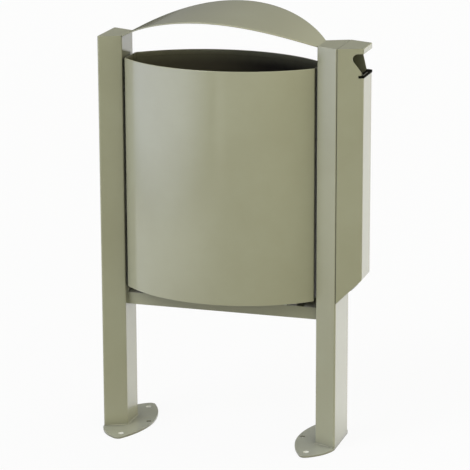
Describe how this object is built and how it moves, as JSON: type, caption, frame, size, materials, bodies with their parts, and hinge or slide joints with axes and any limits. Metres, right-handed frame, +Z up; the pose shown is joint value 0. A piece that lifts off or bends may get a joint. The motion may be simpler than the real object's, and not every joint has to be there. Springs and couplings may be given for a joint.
{
  "type": "litter bin with ashtray",
  "caption": "Litter bin: a tilting lens-plan tank hung between tapered posts with foot plates, under an arched canopy, with a lockable hinged ashtray on a post's outer face.",
  "frame": {"origin": "centre of the rectangle of corner anchor holes, on the ground midway between the posts", "axes": "+X to the right, from the plain post towards the post with the ashtray; +Y to the back; +Z up"},
  "size_m": [0.6, 0.298, 0.963],
  "materials": {
    "painted_sheet": "satin",
    "dark_plate": "matte",
    "zinc_steel": "satin",
    "zinc_sheet": "satin",
    "rubber": "matte"
  },
  "bodies": {
    "frame": {"left_post": "painted_sheet", "right_post": "painted_sheet", "left_post_cap": "painted_sheet", "right_post_cap": "painted_sheet", "left_foot_plate": "painted_sheet", "right_foot_plate": "painted_sheet", "canopy": "painted_sheet", "crossbar": "painted_sheet", "bar_hinge_brackets": "zinc_steel", "bar_hinge_screws": "zinc_steel", "tank_hinge_pins": "zinc_steel", "rest_buffers": "rubber", "tank_lock_barrel": "zinc_steel", "ashtray_back_plate": "zinc_sheet", "back_plate_screws": "zinc_steel", "ash_bucket": "zinc_sheet", "post_hinge_leaves": "painted_sheet", "ashtray_hinge_pins": "zinc_steel"},
    "tank": {"tank_front_panel": "painted_sheet", "tank_back_panel": "painted_sheet", "tank_rivets": "painted_sheet", "tank_floor": "painted_sheet", "tank_hinge_lugs": "zinc_steel", "floor_rivets": "zinc_steel", "lock_keeper": "zinc_steel"},
    "tank_lock": {"tank_lock_cam": "zinc_steel"},
    "ashtray": {"ashtray_housing": "painted_sheet", "ashtray_hood": "painted_sheet", "stub_plate": "dark_plate", "ashtray_lock_barrel": "zinc_steel", "ashtray_lock_nut": "zinc_steel", "door_hinge_leaves": "painted_sheet"},
    "ashtray_lock": {"ashtray_lock_cam": "zinc_steel"}
  },
  "joints": [
    {"name": "tank_tilt", "type": "hinge", "parent": "frame", "child": "tank", "pos_m": [0, -0.013, 0.325], "axis": [1, 0, 0], "range_deg": [0, 85]},
    {"name": "tank_lock_turn", "type": "hinge", "parent": "frame", "child": "tank_lock", "pos_m": [-0.247, 0.001, 0.784], "axis": [-1, 0, 0], "range_deg": [0, 90]},
    {"name": "ashtray_swing", "type": "hinge", "parent": "frame", "child": "ashtray", "pos_m": [0.2723, 0.0631, 0.634], "axis": [0, 0, 1], "range_deg": [0, 95]},
    {"name": "ashtray_lock_turn", "type": "hinge", "parent": "ashtray", "child": "ashtray_lock", "pos_m": [0.2988, 0, 0.3642], "axis": [-0.7071, 0, 0.7071], "range_deg": [0, 90]}
  ]
}
